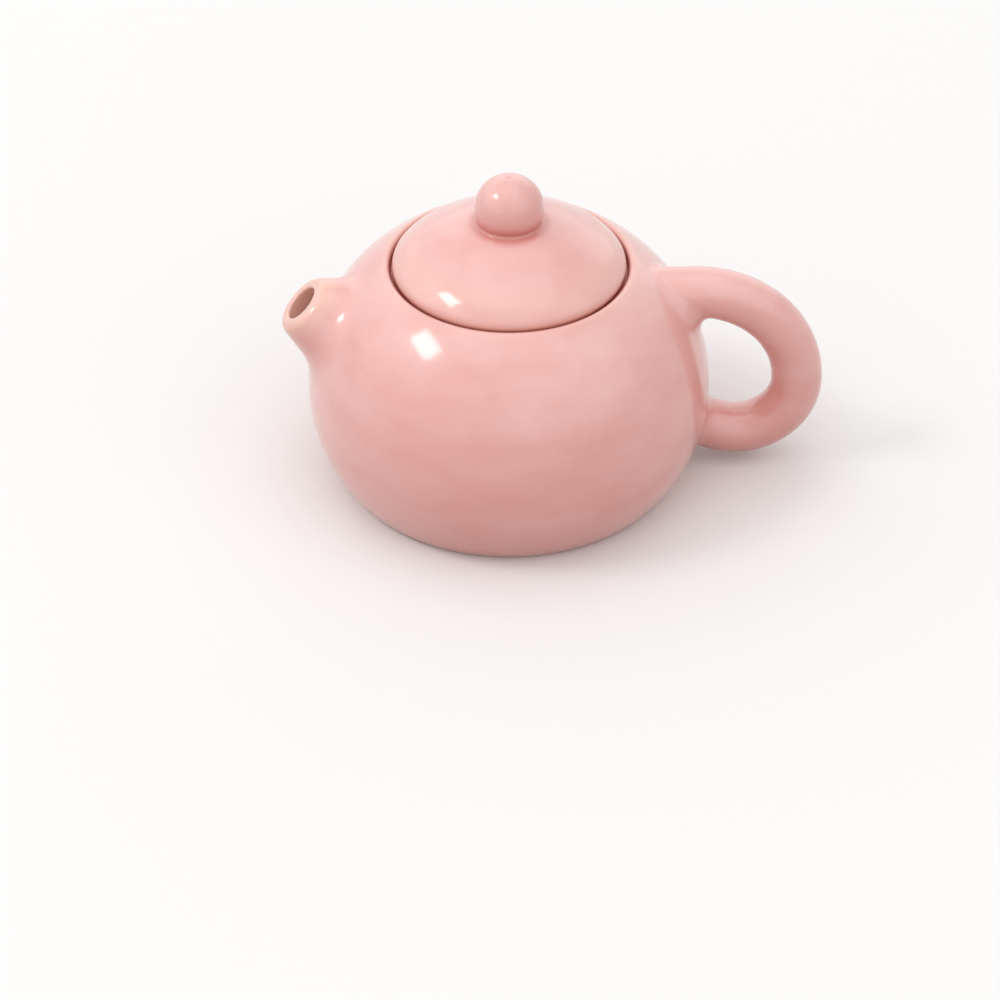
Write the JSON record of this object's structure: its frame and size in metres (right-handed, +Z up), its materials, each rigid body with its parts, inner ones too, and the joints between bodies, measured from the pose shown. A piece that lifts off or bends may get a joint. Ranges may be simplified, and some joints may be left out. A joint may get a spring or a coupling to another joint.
{
  "type": "toy teapot",
  "caption": "Squat round glazed-ceramic toy teapot with a short stubby spout, a thick ear handle and a drop-in domed lid with a ball knob that lifts off.",
  "frame": {"origin": "centre of the foot, on the table", "axes": "+Z up, +X from the spout to the handle, +Y completes the right-handed frame"},
  "size_m": [0.1183, 0.088, 0.0739],
  "materials": {
    "pink_glaze": "glossy"
  },
  "bodies": {
    "pot": {"pot_body": "pink_glaze", "spout": "pink_glaze", "handle": "pink_glaze"},
    "lid": {"lid": "pink_glaze", "knob": "pink_glaze"}
  },
  "joints": [
    {"name": "lid_lift", "type": "slide", "parent": "pot", "child": "lid", "axis": [0, 0, 1], "range_m": [0, 0.06]}
  ]
}
